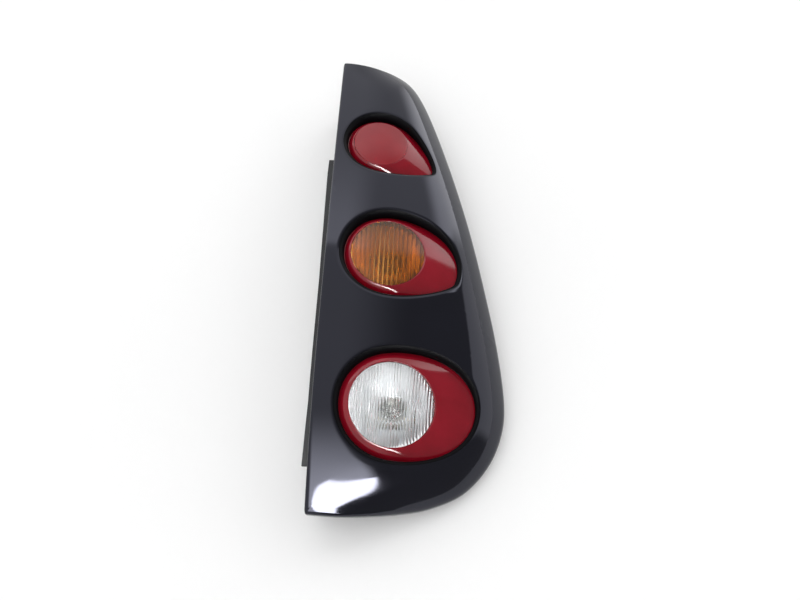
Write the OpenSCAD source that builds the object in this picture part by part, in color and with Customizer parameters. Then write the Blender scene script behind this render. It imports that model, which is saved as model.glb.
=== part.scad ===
// Right-hand rear lamp cluster, lying on its back on its three fixing bosses.
// X runs across the lamp from its straight inner edge, Y up its length to the tip, Z out of its face.
// A black moulded cover with three drop-shaped recesses sits over a housing that carries
// three lenses, three reflectors and a plug-in bulb carrier with its contact strips.

/* [Cover] */
// Length of the cover, from its bottom edge to its tip
lamp_len = 490; // [440:1:540]
// Widest width of the cover
lamp_w = 176; // [160:1:195]
// Wall of the moulded cover
cover_t = 3; // [2.4:0.1:3.6]
// Height of the crown of the face over the surface the lamp lies on
crown_h = 69; // [64:0.5:76]
// Radius of the face along the lamp
face_len_r = 3000; // [2400:50:4000]
// Radius of the face across the lamp
face_across_r = 600; // [520:10:800]
// How far the face turns down at the bottom of the lamp
chin_drop = 18.5; // [14:0.5:22]
// How far the outer edge turns down round the flank
flank_drop = 20; // [14:0.5:23]
// Width of the rounded flank
flank_w = 45; // [36:1:52]
// Depth of the skirt under the edge of the face
skirt_h = 6; // [4:0.5:8]

/* [Lenses] */
// Diameter of the clear reversing window
reverse_d = 77; // [66:0.5:80]
// Diameter of the amber indicator window
indicator_d = 71; // [60:0.5:73]
// Diameter of the round tail and brake window
tail_d = 55; // [46:0.5:58]
// Red border of the reversing lens, between its round window and the edge of its recess
border_w = 9; // [7:0.25:10.5]
// Wall of the lens mouldings
lens_t = 2.5; // [2:0.1:3]
// Height that a lens rises from its flange to the edge of its window
dome_h = 6; // [4.5:0.25:7]
// Height that a window bulges over its own edge
bulge_h = 2.5; // [1.5:0.25:3.5]
// Depth of the lens flange under the face at the middle of a recess
recess_depth = 10.5; // [9.75:0.25:13]
// Width of the edge that rolls into a recess
roll_w = 7; // [5:0.25:9]
// Width of the flange that a lens is held by
flange_w = 5; // [4:0.25:6]
// Pitch of the upright flutes in the reversing window
reverse_flute = 2.6; // [2.2:0.1:3.6]
// Pitch of the upright flutes in the indicator window
indicator_flute = 4.4; // [3.6:0.1:5.4]
// Pitch of the upright flutes in the tail window
tail_flute = 3.9; // [3.2:0.1:4.8]

/* [Housing] */
// Height of the fixing bosses, from the resting surface to the back plate
boss_h = 15; // [13:0.5:16]
// Wall of the moulded housing
wall_t = 3; // [2.4:0.1:3.4]
// Diameter of a fixing boss
boss_d = 17; // [15:0.5:20]
// Distance from the edge of the cover in to the edge of the back plate
plate_inset = 17; // [16:0.25:18.5]
// Depth of the side ledge under the edge of the cover
ledge_drop = 12; // [11:0.5:16]

/* [Bulbs and carrier] */
// Thickness of the bulb carrier
carrier_t = 3; // [2.5:0.1:3.4]
// Width of the bulb carrier
carrier_w = 56; // [54:0.5:58]
// Outer diameter of a bulb cup
cup_d = 22; // [21:0.25:24]
// Diameter of a bulb's brass cap
cap_d = 15; // [14:0.1:15.4]
// Length of a bulb's brass cap
cap_h = 15; // [13:0.25:16]
// Diameter of a bulb's glass
glass_d = 25; // [20:0.25:26]
// Width of the connector socket
socket_w = 40; // [36:0.5:44]
// Thickness of the brass contact strips
strip_t = 0.8; // [0.6:0.1:1]
// Wall of the reflectors
reflector_t = 1.8; // [1.4:0.1:2.4]

/* [Fasteners] */
// Thread diameter of the fixing inserts
insert_thread_d = 6; // [5:1:8]
// Length of the fixing inserts
insert_len = 12; // [9:0.5:12.5]
// Shank diameter of the cover screws
screw_d = 4; // [3.5:0.1:4.2]
// Head diameter of the cover screws
screw_head_d = 8; // [7:0.25:9]

/* [Hidden] */

// Shared clearances
fit_gap = 0.15;
lens_gap = 0.6;
over = 0.5;

// The edge of the cover: bottom corner, bottom edge, round corner, outer edge, tip.
// Each point is a share of the width and of the length.
edge_shares = [[0, 0], [0.153, 0], [0.305, 0.006], [0.463, 0.016], [0.623, 0.031], [0.785, 0.060],
    [0.909, 0.109], [0.980, 0.167], [0.999, 0.232], [0.960, 0.345], [0.893, 0.465], [0.829, 0.567],
    [0.765, 0.655], [0.681, 0.757], [0.580, 0.866], [0.500, 0.934], [0.425, 0.972], [0.330, 0.990],
    [0.210, 0.998], [0.095, 1], [0, 1]];
// Where the edge is divided, counted along its points, so that each part frames one recess
bottom_mark = 6;
low_mark = 9;
high_mark = 12;
top_mark = 16;
end_mark = len(edge_shares) - 1;
right_marks = [bottom_mark, low_mark, high_mark, top_mark];
side_n = 16;
face_rows = 4;

// The three lamps, from the bottom: reversing, indicator, tail
lens_shares = [[0.403, 0.198], [0.342, 0.506], [0.262, 0.776]];
window_ds = [reverse_d, indicator_d, tail_d];
border_shares = [1, 0.74, 0.67];
depth_shares = [1, 1, 1.05];
drop_angles = [2, -21, -29.5];
drop_reach_shares = [0.367, 0.395, 0.522];
// How the tail of a drop falls off over and under its tip: a round power, then a pointed one
drop_fall_powers = [[[4.8, 0], [4.8, 0]], [[4, 0], [0, 4]], [[0, 3.9], [0, 4.4]]];
tip_round_share = 0.05;
tear_n = 48;
// Sections of the rolled edge: how far out of the recess, and how far down it
roll_shares = [[0.42, 0.16], [0.12, 0.48], [0, 1]];

// Heights of the face
crown_y_share = 0.55;
chin_share = 0.306;
crown_y = lamp_len * crown_y_share;
chin_len = lamp_len * chin_share;
flank_power = 2.5;
fade_share = 0.6;
fade_w = lamp_w * fade_share;

// Heights through the lamp
plate_z = boss_h + wall_t;
gasket_t = 1.5;
carrier_top = boss_h - gasket_t;
carrier_z = carrier_top - carrier_t;
cup_floor = 2;
cup_floor_t = 1.5;
contact_z = cup_floor + cup_floor_t;
cap_z = contact_z + strip_t + 1.2 * strip_t;
cup_lip = 1.5;
cup_top = cap_z + cap_h + cup_lip;
neck_z = cup_top + fit_gap;
glass_top = cap_z + cap_h + glass_d * 1.12;

// Outline of the cover

function edge_point(i) = [edge_shares[i][0] * lamp_w, edge_shares[i][1] * lamp_len];

function edge_clamped(i) = edge_point(max(0, min(end_mark, i)));

function spline(a, b, c, d, t) =
    0.5 * (2 * b + (c - a) * t + (2 * a - 5 * b + 4 * c - d) * t * t + (3 * b - a - 3 * c + d) * t * t * t);

function spline_slope(a, b, c, d, t) =
    0.5 * ((c - a) + 2 * (2 * a - 5 * b + 4 * c - d) * t + 3 * (3 * b - a - 3 * c + d) * t * t);

function edge_at(s) =
    let (i = min(end_mark - 1, floor(s)))
    spline(edge_clamped(i - 1), edge_clamped(i), edge_clamped(i + 1), edge_clamped(i + 2), s - i);

function edge_dir(s) =
    let (i = min(end_mark - 1, floor(s)))
    let (d = spline_slope(edge_clamped(i - 1), edge_clamped(i), edge_clamped(i + 1), edge_clamped(i + 2), s - i))
    d / norm(d);

// A point of the edge, moved in by a wall; the two ends meet the straight inner edge,
// and the points next to them keep their order along it
inner_spread_share = 0.1;

function rim_point(s, inset) =
    s == 0 ? [inset, inset]
    : s == end_mark ? [inset, lamp_len - inset]
    : let (p = edge_at(s), d = edge_dir(s))
        [max(inset + inner_spread_share * p[0], p[0] - d[1] * inset), p[1] + d[0] * inset];

function mix(a, b, t) = (1 - t) * a + t * b;

// Height of the straight inner edge where the outline is divided
function mark_y(zone, inset) =
    zone == 0 ? inset
    : zone == 3 ? lamp_len - inset
    : edge_at(right_marks[zone])[1];

function rim_line(from, to, inset, n) = [for (k = [0:n - 1]) rim_point(from + (to - from) * k / n, inset)];

function cross_line(zone, inset, back) =
    let (a = [inset, mark_y(zone, inset)], b = rim_point(right_marks[zone], inset))
    [for (k = [0:side_n - 1]) let (t = back ? (side_n - k) / side_n : k / side_n) mix(a, b, t)];

function inner_line(zone, inset) =
    [for (k = [0:side_n - 1])
        [inset, mix(mark_y(zone + 1, inset), mark_y(zone, inset), k / side_n)]];

// The frame round one recess, anticlockwise from its bottom left corner
function zone_frame(zone, inset) = concat(
    zone == 0 ? rim_line(0, bottom_mark, inset, side_n) : cross_line(zone, inset, false),
    rim_line(right_marks[zone], right_marks[zone + 1], inset, side_n),
    zone == 2 ? rim_line(top_mark, end_mark, inset, side_n) : cross_line(zone + 1, inset, true),
    inner_line(zone, inset));

// The whole edge, anticlockwise
function cover_edge(inset) = concat(
    rim_line(0, bottom_mark, inset, side_n),
    [for (zone = [0:2]) each rim_line(right_marks[zone], right_marks[zone + 1], inset, side_n)],
    rim_line(top_mark, end_mark, inset, side_n),
    [for (zone = [2:-1:0]) each inner_line(zone, inset)]);

outer_run = [for (k = [0:5 * side_n]) edge_at(end_mark * k / (5 * side_n))];
edge_x_max = max([for (p = outer_run) p[0]]);
outer_y_max = max([for (p = outer_run) p[1]]);
outer_y_min = min([for (p = outer_run) p[1]]);

// Height of the face

function smooth_step(t) = let (u = max(0, min(1, t))) u * u * (3 - 2 * u);

function span_distance(p, a, b) =
    let (ab = b - a, t = max(0, min(1, (p - a) * ab / (ab * ab))))
    norm(p - a - t * ab);

function edge_distance(p) =
    min([for (k = [0:len(outer_run) - 2]) span_distance(p, outer_run[k], outer_run[k + 1])]);

function flank(p) =
    let (d = edge_distance(p))
    d >= flank_w ? 0 : flank_drop * smooth_step(p[0] / fade_w) * pow(1 - d / flank_w, flank_power);

function chin(y) = y >= chin_len ? 0 : chin_drop * pow(1 - y / chin_len, 2);

function face_z(p) =
    crown_h - pow(p[1] - crown_y, 2) / (2 * face_len_r) - pow(p[0], 2) / (2 * face_across_r)
    - chin(p[1]) - flank(p);

// How much taller than the wall an upright cut through the sloping face is
function slope_stretch(p) =
    let (dx = face_z(p + [cover_t, 0]) - face_z(p - [cover_t, 0]))
    let (dy = face_z(p + [0, cover_t]) - face_z(p - [0, cover_t]))
    norm([1, dx / (2 * cover_t), dy / (2 * cover_t)]);

function under_z(p) = face_z(p) - cover_t * slope_stretch(p);

// Drop shape of a recess, and the plane that its lens flange lies in

lens_at = [for (s = lens_shares) [s[0] * lamp_w, s[1] * lamp_len]];
window_rs = [for (d = window_ds) d / 2];

function drop_fall(i, off) =
    let (s = sqrt(pow(sin(off / 2), 2) + pow(tip_round_share, 2)) - tip_round_share)
    let (powers = drop_fall_powers[i][sin(off) > 0 ? 0 : 1])
    pow((1 + cos(off)) / 2, powers[0]) * pow(1 - s, powers[1]);

function drop_r(i, a) =
    window_rs[i] + border_w * border_shares[i]
    + 2 * window_rs[i] * drop_reach_shares[i] * drop_fall(i, a - drop_angles[i]);

// A lens plane follows the face up and down over its window, and across from its border to its tip
seat_slopes = [for (i = [0:2]) let (c = lens_at[i], r = window_rs[i])
    let (slope_y = (face_z(c + [0, r]) - face_z(c - [0, r])) / (2 * r))
    let (a = c - [drop_r(i, 180), 0], b = c + drop_r(i, drop_angles[i]) * [cos(drop_angles[i]), sin(drop_angles[i])])
    [(face_z(b) - face_z(a) - slope_y * (b[1] - a[1])) / (b[0] - a[0]), slope_y]];
seat_zs = [for (i = [0:2]) face_z(lens_at[i]) - recess_depth * depth_shares[i]];
seat_turns = [for (s = seat_slopes) let (n = norm([s[0], s[1], 1]))
    [asin(s[1] / n), atan2(-s[0], 1), 0]];

function seat_z(i, p) = seat_zs[i] + (p - lens_at[i]) * seat_slopes[i];

function drop_point(i, a, grow) = lens_at[i] + (drop_r(i, a) + grow) * [cos(a), sin(a)];

function drop_outline(i, grow) = [for (k = [0:tear_n - 1]) drop_point(i, 360 * k / tear_n, grow)];

// Meshes made of rows of points

function grid_faces(rows, cols, start, flip) =
    [for (r = [0:rows - 2], c = [0:cols - 1])
        let (a = start + r * cols + c, b = start + r * cols + (c + 1) % cols, e = a + cols, f = b + cols)
        each flip ? [[a, e, f], [a, f, b]] : [[a, f, e], [a, b, f]]];

// Rows of one skin of the cover round a recess, from its frame in and down to the foot
function skin_rows(i, frame, inner) =
    let (c = lens_at[i], wall = inner ? cover_t : 0)
    let (rays = [for (b = frame) let (v = b - c, d = norm(v), a = atan2(v[1], v[0]))
        [b, v / d, d, drop_r(i, a) + wall]])
    concat(
        [for (k = [0:face_rows]) [for (ray = rays)
            let (t = k / face_rows, lip = ray[3] + roll_w)
            let (p = k == 0 ? ray[0] : c + ray[1] * mix(ray[2], lip, t))
            [p[0], p[1], inner ? under_z(p) : face_z(p)]]],
        [for (s = roll_shares) [for (ray = rays)
            let (p = c + ray[1] * (ray[3] + roll_w * s[0]))
            let (top = inner ? under_z(p) : face_z(p))
            [p[0], p[1], mix(top, seat_z(i, p) + fit_gap, s[1])]]]);

// The foot of a recess wall joins the last rows of the two skins
function foot_rows(i) =
    [for (inner = [false, true]) let (rows = skin_rows(i, zone_frame(i, inner ? cover_t : 0), inner))
        rows[len(rows) - 1]];

function skirt_rows() =
    let (out = cover_edge(0), in = cover_edge(cover_t))
    [[for (p = out) [p[0], p[1], face_z(p)]],
     [for (p = out) [p[0], p[1], face_z(p) - skirt_h]],
     [for (k = [0:len(out) - 1]) [in[k][0], in[k][1], face_z(out[k]) - skirt_h]],
     [for (p = in) [p[0], p[1], under_z(p)]]];

function flat_rows(rows) = [for (row = rows) each row];

module mesh(parts) {
    starts = [for (i = 0, s = 0; i < len(parts); s = s + len(parts[i][0]) * len(parts[i][0][0]), i = i + 1) s];
    polyhedron(
        points = [for (part = parts) each flat_rows(part[0])],
        faces = [for (i = [0:len(parts) - 1])
            each grid_faces(len(parts[i][0]), len(parts[i][0][0]), starts[i], parts[i][1])],
        convexity = 10);
}

// Everything is drawn from the inner edge and then centred on its own box
module placed() {
    translate([-(edge_x_max + ledge_reach) / 2, -(outer_y_max + outer_y_min) / 2, 0]) children();
}

// Space over the plane of a lens flange, moved up or down by a step
module over_seat(i, step) {
    translate([lens_at[i][0], lens_at[i][1], seat_zs[i] + step])
        rotate(seat_turns[i])
            translate([-lamp_w, -lamp_w, 0])
                cube([2 * lamp_w, 2 * lamp_w, lamp_w]);
}

// Cover

screw_shares = [[0.15, 0.058], [0.61, 0.087], [0.09, 0.355], [0.725, 0.365], [0.585, 0.645], [0.2, 0.935]];
screw_at = [for (s = screw_shares) [s[0] * lamp_w, s[1] * lamp_len]];
screw_boss_d = screw_d * 2.2;
screw_grip = screw_d * 3;
pilot_len = screw_grip + screw_d;

function boss_top(p) =
    let (r = screw_boss_d / 2)
    min([for (v = [[r, 0], [-r, 0], [0, r], [0, -r]]) face_z(p + v)]) - cover_t / 2;

module front_cover() {
    color("#17181d") placed() {
        difference() {
            union() {
                mesh(concat(
                    [for (i = [0:2]) [skin_rows(i, zone_frame(i, 0), false), true]],
                    [for (i = [0:2]) [skin_rows(i, zone_frame(i, cover_t), true), false]],
                    [for (i = [0:2]) [foot_rows(i), true]],
                    [[skirt_rows(), false]]));
                for (p = screw_at) {
                    translate([p[0], p[1], plate_z + fit_gap])
                        cylinder(d = screw_boss_d, h = boss_top(p) - plate_z - fit_gap, $fn = 32);
                }
            }
            for (p = screw_at) {
                pilot_h = min(pilot_len, boss_top(p) - plate_z - cover_t);
                translate([p[0], p[1], plate_z - over]) cylinder(d = screw_d + 2 * fit_gap, h = pilot_h, $fn = 24);
            }
        }
    }
}

// Lens mouldings

// A red surround: its bowed outer skin, the flange round it and the inner skin back to the window
module surround(i) {
    r0 = window_rs[i];
    angles = [for (k = [0:tear_n - 1]) 360 * k / tear_n];
    rows = concat(
        [for (q = [0, 0.3, 0.62, 0.86, 1]) [for (a = angles) lens_skin(i, a, q, 0)]],
        [for (dz = [0, -lens_t]) [for (a = angles)
            let (p = drop_point(i, a, flange_w)) [p[0], p[1], seat_z(i, p) + dz]]],
        [[for (a = angles) let (p = drop_point(i, a, -lens_gap - lens_t)) [p[0], p[1], seat_z(i, p) - lens_t]]],
        [for (q = [0.6, 0]) [for (a = angles) lens_skin(i, a, q, lens_t)]]);
    mesh([[concat(rows, [rows[0]]), false]]);
}

bow_power = 1.8;

// Radius of the dome of a window, and the slope that it leaves its edge with
function dome_r(i) = (pow(window_rs[i], 2) + pow(bulge_h, 2)) / (2 * bulge_h);

function edge_slope(i) = window_rs[i] / (dome_r(i) - bulge_h);

// A point of the bowed skin, from the window (share 0) out to the flange (share 1)
function lens_skin(i, a, share, down) =
    let (out_r = drop_r(i, a) - lens_gap, r = mix(window_rs[i], out_r, share))
    let (p = lens_at[i] + r * [cos(a), sin(a)])
    let (ease = edge_slope(i) * (out_r - window_rs[i]) * share * (1 - share))
    [p[0], p[1], seat_z(i, p) + dome_h * (1 - pow(share, bow_power)) - ease - down];

// A round window: a shallow dome with rows of upright flutes on its flat back
module window(i, pitch, r) {
    flute_d = pitch / 4;
    flutes = floor(window_rs[i] / pitch) + 1;
    top = dome_h + bulge_h + over;
    intersection() {
        translate([lens_at[i][0], lens_at[i][1], plate_z])
            cylinder(r = r, h = crown_h, $fn = 96);
        translate([lens_at[i][0], lens_at[i][1], seat_zs[i]])
            rotate(seat_turns[i]) {
                intersection() {
                    translate([0, 0, dome_h + bulge_h - dome_r(i)]) sphere(r = dome_r(i), $fn = 240);
                    rotate([90, 0, 0])
                        linear_extrude(height = 2 * window_ds[i], center = true)
                            polygon(concat(
                                [[flutes * pitch, top], [-flutes * pitch, top]],
                                [for (k = [-flutes:flutes - 1]) each [
                                    [k * pitch, dome_h - lens_t + flute_d],
                                    [(k + 0.3) * pitch, dome_h - lens_t + flute_d / 4],
                                    [(k + 0.5) * pitch, dome_h - lens_t],
                                    [(k + 0.7) * pitch, dome_h - lens_t + flute_d / 4]]],
                                [[flutes * pitch, dome_h - lens_t + flute_d]]));
                }
            }
    }
}

module reverse_surround() { color("#a81420") placed() surround(0); }

module indicator_surround() { color("#a81420") placed() surround(1); }

module reverse_window() { color("#d8dcdc") placed() window(0, reverse_flute, window_rs[0] - fit_gap); }

module indicator_window() { color("#d88a1c") placed() window(1, indicator_flute, window_rs[1] - fit_gap); }

// The tail lens is one shot of red: its surround and its round window are fused
module tail_lens() {
    color("#a81420") placed() {
        surround(2);
        window(2, tail_flute, window_rs[2] + fit_gap);
    }
}

// A ring under the lens flange, cut to the flange's own plane
module seat_ring(i, top, bottom, out, in) {
    difference() {
        linear_extrude(height = crown_h)
            difference() {
                polygon(drop_outline(i, out));
                polygon(drop_outline(i, in));
            }
        over_seat(i, top);
        if (bottom < 0) {
            difference() {
                translate([-lamp_w, -lamp_w, -over]) cube([3 * lamp_w, 2 * lamp_len, crown_h]);
                over_seat(i, bottom);
            }
        }
    }
}

seal_t = 1.5;
seal_inset = 1;
seat_in = -wall_t;
seal_under = -lens_t - 2 * fit_gap - seal_t;

module lens_seal(i) {
    color("#2a2a2a") placed()
        seat_ring(i, -lens_t - fit_gap, -lens_t - fit_gap - seal_t, flange_w - seal_inset, seat_in + seal_inset);
}

module reverse_seal() { lens_seal(0); }

module indicator_seal() { lens_seal(1); }

module tail_seal() { lens_seal(2); }

// Reflectors

bowl_clear = 2.4;
bowl_neck_r = cup_d / 2 + bowl_clear;
shelf_clear = 2;
shelf_depth = lens_t + seal_t + shelf_clear;

// Solid inside a paraboloid that is as wide as the window at the shelf
module bowl_solid(i, grow) {
    depth = seat_zs[i] - shelf_depth - neck_z;
    rim_r = window_rs[i];
    steps = 14;
    top_share = 1.35;
    profile = [for (k = [0:steps]) let (t = top_share * k / steps)
        [grow + sqrt(mix(pow(bowl_neck_r, 2), pow(rim_r, 2), t)), neck_z + depth * t]];
    translate([lens_at[i][0], lens_at[i][1], 0])
        rotate_extrude($fn = 64)
            polygon(concat([[0, neck_z]], profile, [[0, neck_z + depth * top_share]]));
}

module reflector(i) {
    color("#c9ccd0") placed()
        difference() {
            union() {
                intersection() {
                    bowl_solid(i, reflector_t);
                    linear_extrude(height = crown_h) polygon(drop_outline(i, seat_in - fit_gap));
                }
                translate([lens_at[i][0], lens_at[i][1], plate_z + fit_gap])
                    cylinder(r = bowl_neck_r + reflector_t, h = neck_z - plate_z, $fn = 48);
                intersection() {
                    linear_extrude(height = crown_h) polygon(drop_outline(i, seat_in - fit_gap));
                    over_seat(i, -shelf_depth - reflector_t);
                }
            }
            bowl_solid(i, 0);
            over_seat(i, -shelf_depth);
            translate([lens_at[i][0], lens_at[i][1], 0])
                cylinder(r = bowl_neck_r, h = neck_z + over, $fn = 48);
        }
}

module reverse_reflector() { reflector(0); }

module indicator_reflector() { reflector(1); }

module tail_reflector() { reflector(2); }

// Bulbs

pin_d = 2;
pin_out = 1.4;
pin_reach = cap_d / 2 + pin_out;
pin_share = 0.45;
pin_floor = cap_z + cap_h * pin_share - pin_d / 2 - fit_gap;
button_d = cap_d / 3;

module bulb_cap(i) {
    color("#b08a4a") placed()
        translate([lens_at[i][0], lens_at[i][1], cap_z]) {
            cylinder(d = cap_d, h = cap_h, $fn = 40);
            translate([0, 0, -strip_t]) cylinder(d = button_d, h = 2 * strip_t, $fn = 24);
            translate([0, 0, cap_h * pin_share])
                rotate([90, 0, 0]) cylinder(d = pin_d, h = 2 * pin_reach, center = true, $fn = 16);
        }
}

module bulb_glass(i) {
    throat_r = cap_d * 0.42;
    ball_r = glass_d / 2;
    ball_z = cap_z + cap_h + glass_d * 0.62;
    color("#dfe6e8") placed()
        translate([lens_at[i][0], lens_at[i][1], 0]) {
            translate([0, 0, ball_z]) sphere(r = ball_r, $fn = 48);
            translate([0, 0, cap_z + cap_h])
                cylinder(r1 = throat_r, r2 = ball_r * 0.9, h = ball_r * 0.8, $fn = 48);
        }
}

module reverse_bulb_cap() { bulb_cap(0); }

module indicator_bulb_cap() { bulb_cap(1); }

module tail_bulb_cap() { bulb_cap(2); }

module reverse_bulb_glass() { bulb_glass(0); }

module indicator_bulb_glass() { bulb_glass(1); }

module tail_bulb_glass() { bulb_glass(2); }

// Bulb carrier, seen from behind: plate, three cups and the connector socket

socket_len = 22;
socket_wall = 1.6;
socket_at = lens_at[0] - [0, (carrier_w + socket_len) / 2];
socket_mouth = 1;
catch_out = 1.4;
leg_w = 2.4;
pin_pitch = socket_w / 5;
pin_tip = 7;
seal_edge = 0.5;
seal_w = 3;
slot_w = 5;

module carrier_outline(shrink) {
    hull() {
        for (p = lens_at) {
            translate(p) circle(r = carrier_w / 2 - shrink, $fn = 48);
        }
    }
    hull() {
        translate(lens_at[0]) circle(r = carrier_w / 2 - shrink, $fn = 48);
        translate(socket_at) square([socket_w - 2 * shrink, socket_len - 2 * shrink], center = true);
    }
}

// A box of the socket's plan, grown by a step, between two heights
module socket_box(grow, from, to) {
    translate([socket_at[0], socket_at[1], from])
        linear_extrude(height = to - from) square([socket_w + 2 * grow, socket_len + 2 * grow], center = true);
}

// A ramp on the outside of the socket that the plug's tongue snaps over
module plug_catch() {
    translate([socket_at[0], socket_at[1] - socket_len / 2 + over, socket_mouth + socket_wall])
        rotate([90, 0, 90])
            linear_extrude(height = socket_w / 4, center = true)
                polygon([[0, 0], [-over, 0], [-over - catch_out, 2 * catch_out], [0, 2 * catch_out]]);
}

module bulb_carrier() {
    rib_w = cup_d / 4;
    color("#dcdcd4") placed() {
        difference() {
            union() {
                translate([0, 0, carrier_z]) linear_extrude(height = carrier_t) carrier_outline(0);
                socket_box(0, socket_mouth, carrier_top);
                plug_catch();
                for (p = lens_at) {
                    translate([p[0], p[1], cup_floor]) cylinder(d = cup_d, h = cup_top - cup_floor, $fn = 48);
                    for (a = [45:90:315]) {
                        translate([p[0], p[1], contact_z])
                            rotate([0, 0, a])
                                translate([cup_d / 2 - over, -strip_t, 0])
                                    cube([rib_w, 2 * strip_t, carrier_z - contact_z + over]);
                    }
                }
            }
            for (p = lens_at) {
                translate([p[0], p[1], contact_z]) cylinder(d = cap_d + 4 * fit_gap, h = cup_top, $fn = 48);
                translate([p[0] - pin_d / 2 - fit_gap, p[1] - pin_reach - fit_gap, pin_floor])
                    cube([pin_d + 2 * fit_gap, 2 * (pin_reach + fit_gap), cup_top]);
                translate([p[0], p[1] - slot_w / 2, contact_z]) cube([cup_d, slot_w, cup_top]);
                translate([p[0] - cup_d, p[1] - slot_w / 2, carrier_top]) cube([cup_d, slot_w, cup_top]);
            }
            socket_box(-socket_wall, socket_mouth - over, carrier_top - socket_wall);
            for (k = [0:3]) {
                translate([leg_x(k) - leg_w / 2 - fit_gap, socket_at[1] - strip_t / 2 - fit_gap, pin_tip])
                    cube([leg_w + 2 * fit_gap, strip_t + 2 * fit_gap, carrier_top]);
            }
        }
    }
}

function leg_x(k) = socket_at[0] + (k - 1.5) * pin_pitch;

module carrier_gasket() {
    color("#303030") placed()
        translate([0, 0, carrier_top + fit_gap])
            linear_extrude(height = gasket_t - 2 * fit_gap)
                difference() {
                    carrier_outline(seal_edge);
                    carrier_outline(seal_edge + seal_w);
                }
}

// Contact strips lie on the carrier, with a tongue to each bulb and a pin in the socket

lane_room = carrier_w / 2 - seal_edge - seal_w - cup_d / 2;
strip_w = lane_room / 4.5;
lane_pitch = strip_w * 1.2;
lane_start = cup_d / 2 + strip_w;

function lane(side, k) = side * (lane_start + k * lane_pitch);

module strip_run(points) {
    for (k = [0:len(points) - 2]) {
        a = points[k];
        b = points[k + 1];
        v = b - a;
        translate([a[0], a[1], carrier_top])
            rotate([0, 0, atan2(v[1], v[0])])
                translate([0, -strip_w / 2, 0]) cube([norm(v), strip_w, strip_t]);
    }
    for (p = points) {
        translate([p[0], p[1], carrier_top]) cylinder(d = strip_w * 1.12, h = strip_t, $fn = 24);
    }
}

// The pin that goes down through the carrier into the connector socket
module strip_pin(k) {
    translate([leg_x(k) - leg_w / 2, socket_at[1] - strip_t / 2, pin_tip])
        cube([leg_w, strip_t, carrier_top + strip_t - pin_tip]);
}

// A feed strip reaches into the cup and turns down under the bulb's button
module feed_strip(i, k) {
    x = lane(1, k);
    foot = cap_d / 2 + 2 * fit_gap + strip_t / 2;
    turn = lens_at[0] - [-x, lane_start / 2 + k * strip_w / 2];
    path = concat(
        [for (j = [i:-1:0]) lens_at[j] + [x, 0]],
        [turn, turn - (turn[0] - leg_x(k + 1)) * [1, 1], [leg_x(k + 1), socket_at[1]]]);
    color("#c2a14d") placed() {
        strip_run(path);
        translate([lens_at[i][0], lens_at[i][1] - strip_w / 2, 0]) {
            translate([foot, 0, carrier_top]) cube([x - foot, strip_w, strip_t]);
            translate([foot, 0, contact_z + fit_gap])
                cube([strip_t, strip_w, carrier_top + strip_t - contact_z - fit_gap]);
            translate([-button_d / 2, 0, contact_z + fit_gap])
                cube([foot + strip_t + button_d / 2, strip_w, strip_t]);
        }
        strip_pin(k + 1);
    }
}

module earth_strip() {
    x = lane(-1, 0);
    color("#c2a14d") placed() {
        strip_run(concat(
            [for (j = [2:-1:0]) lens_at[j] + [x, 0]],
            [[leg_x(0), lens_at[0][1] - lane_start], [leg_x(0), socket_at[1]]]));
        for (p = lens_at) {
            translate([p[0] + x, p[1] - strip_w / 2, carrier_top])
                cube([-x - cap_d / 2 - fit_gap, strip_w, strip_t]);
        }
        strip_pin(0);
    }
}

module reverse_strip() { feed_strip(0, 0); }

module indicator_strip() { feed_strip(1, 1); }

module tail_strip() { feed_strip(2, 2); }

// Housing

fixing_shares = [[0.17, 0.09], [0.78, 0.285], [0.15, 0.905]];
fixing_at = [for (s = fixing_shares) [s[0] * lamp_w, s[1] * lamp_len]];
insert_d = insert_thread_d * 1.5;
peg_share = [0.62, 0.6];
peg_at = [peg_share[0] * lamp_w, peg_share[1] * lamp_len];
peg_d = 10;
gusset_t = 2;
boss_foot_t = 1.5;
plate_rim_h = 5;
plate_rim_t = 2;
latch_w = 9;
latch_t = 1.8;
latch_nose = 1.5;
plate_lip = 0.3;
wall_clear = 2.5;

// Side ledge: how far it stands out of the inner edge, at shares of the length
ledge_shares = [[0.085, 0.94], [0.2, 0.66], [0.45, 0.68], [0.7, 1], [0.735, 0.95]];
ledge_w = 6.5;
ledge_reach = -ledge_w;
ledge_t = wall_t;
ledge_n = 16;

function ledge_y(t) = mix(ledge_shares[0][0], ledge_shares[len(ledge_shares) - 1][0], t) * lamp_len;

module side_ledge() {
    intersection() {
        rotate([90, 0, 90])
            translate([0, 0, -2 * ledge_w])
                linear_extrude(height = 2 * ledge_w + cover_t + fit_gap + wall_t)
                    polygon(concat(
                        [for (k = [0:ledge_n]) let (y = ledge_y(k / ledge_n)) [y, face_z([0, y]) - ledge_drop]],
                        [for (k = [ledge_n:-1:0]) let (y = ledge_y(k / ledge_n))
                            [y, face_z([0, y]) - ledge_drop - ledge_t]]));
        linear_extrude(height = crown_h)
            polygon(concat(
                [for (s = ledge_shares) [-ledge_w * s[1], s[0] * lamp_len]],
                [[2 * cover_t + wall_t, ledge_shares[len(ledge_shares) - 1][0] * lamp_len],
                 [2 * cover_t + wall_t, ledge_shares[0][0] * lamp_len]]));
    }
}

// Edge of the back plate: inside the cover all round, and close behind its straight inner edge
function plate_edge(inset) =
    [for (p = cover_edge(plate_inset + inset))
        [p[0] < plate_inset + inset + over * inner_spread_share ? cover_t + fit_gap + inset : p[0], p[1]]];

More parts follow.
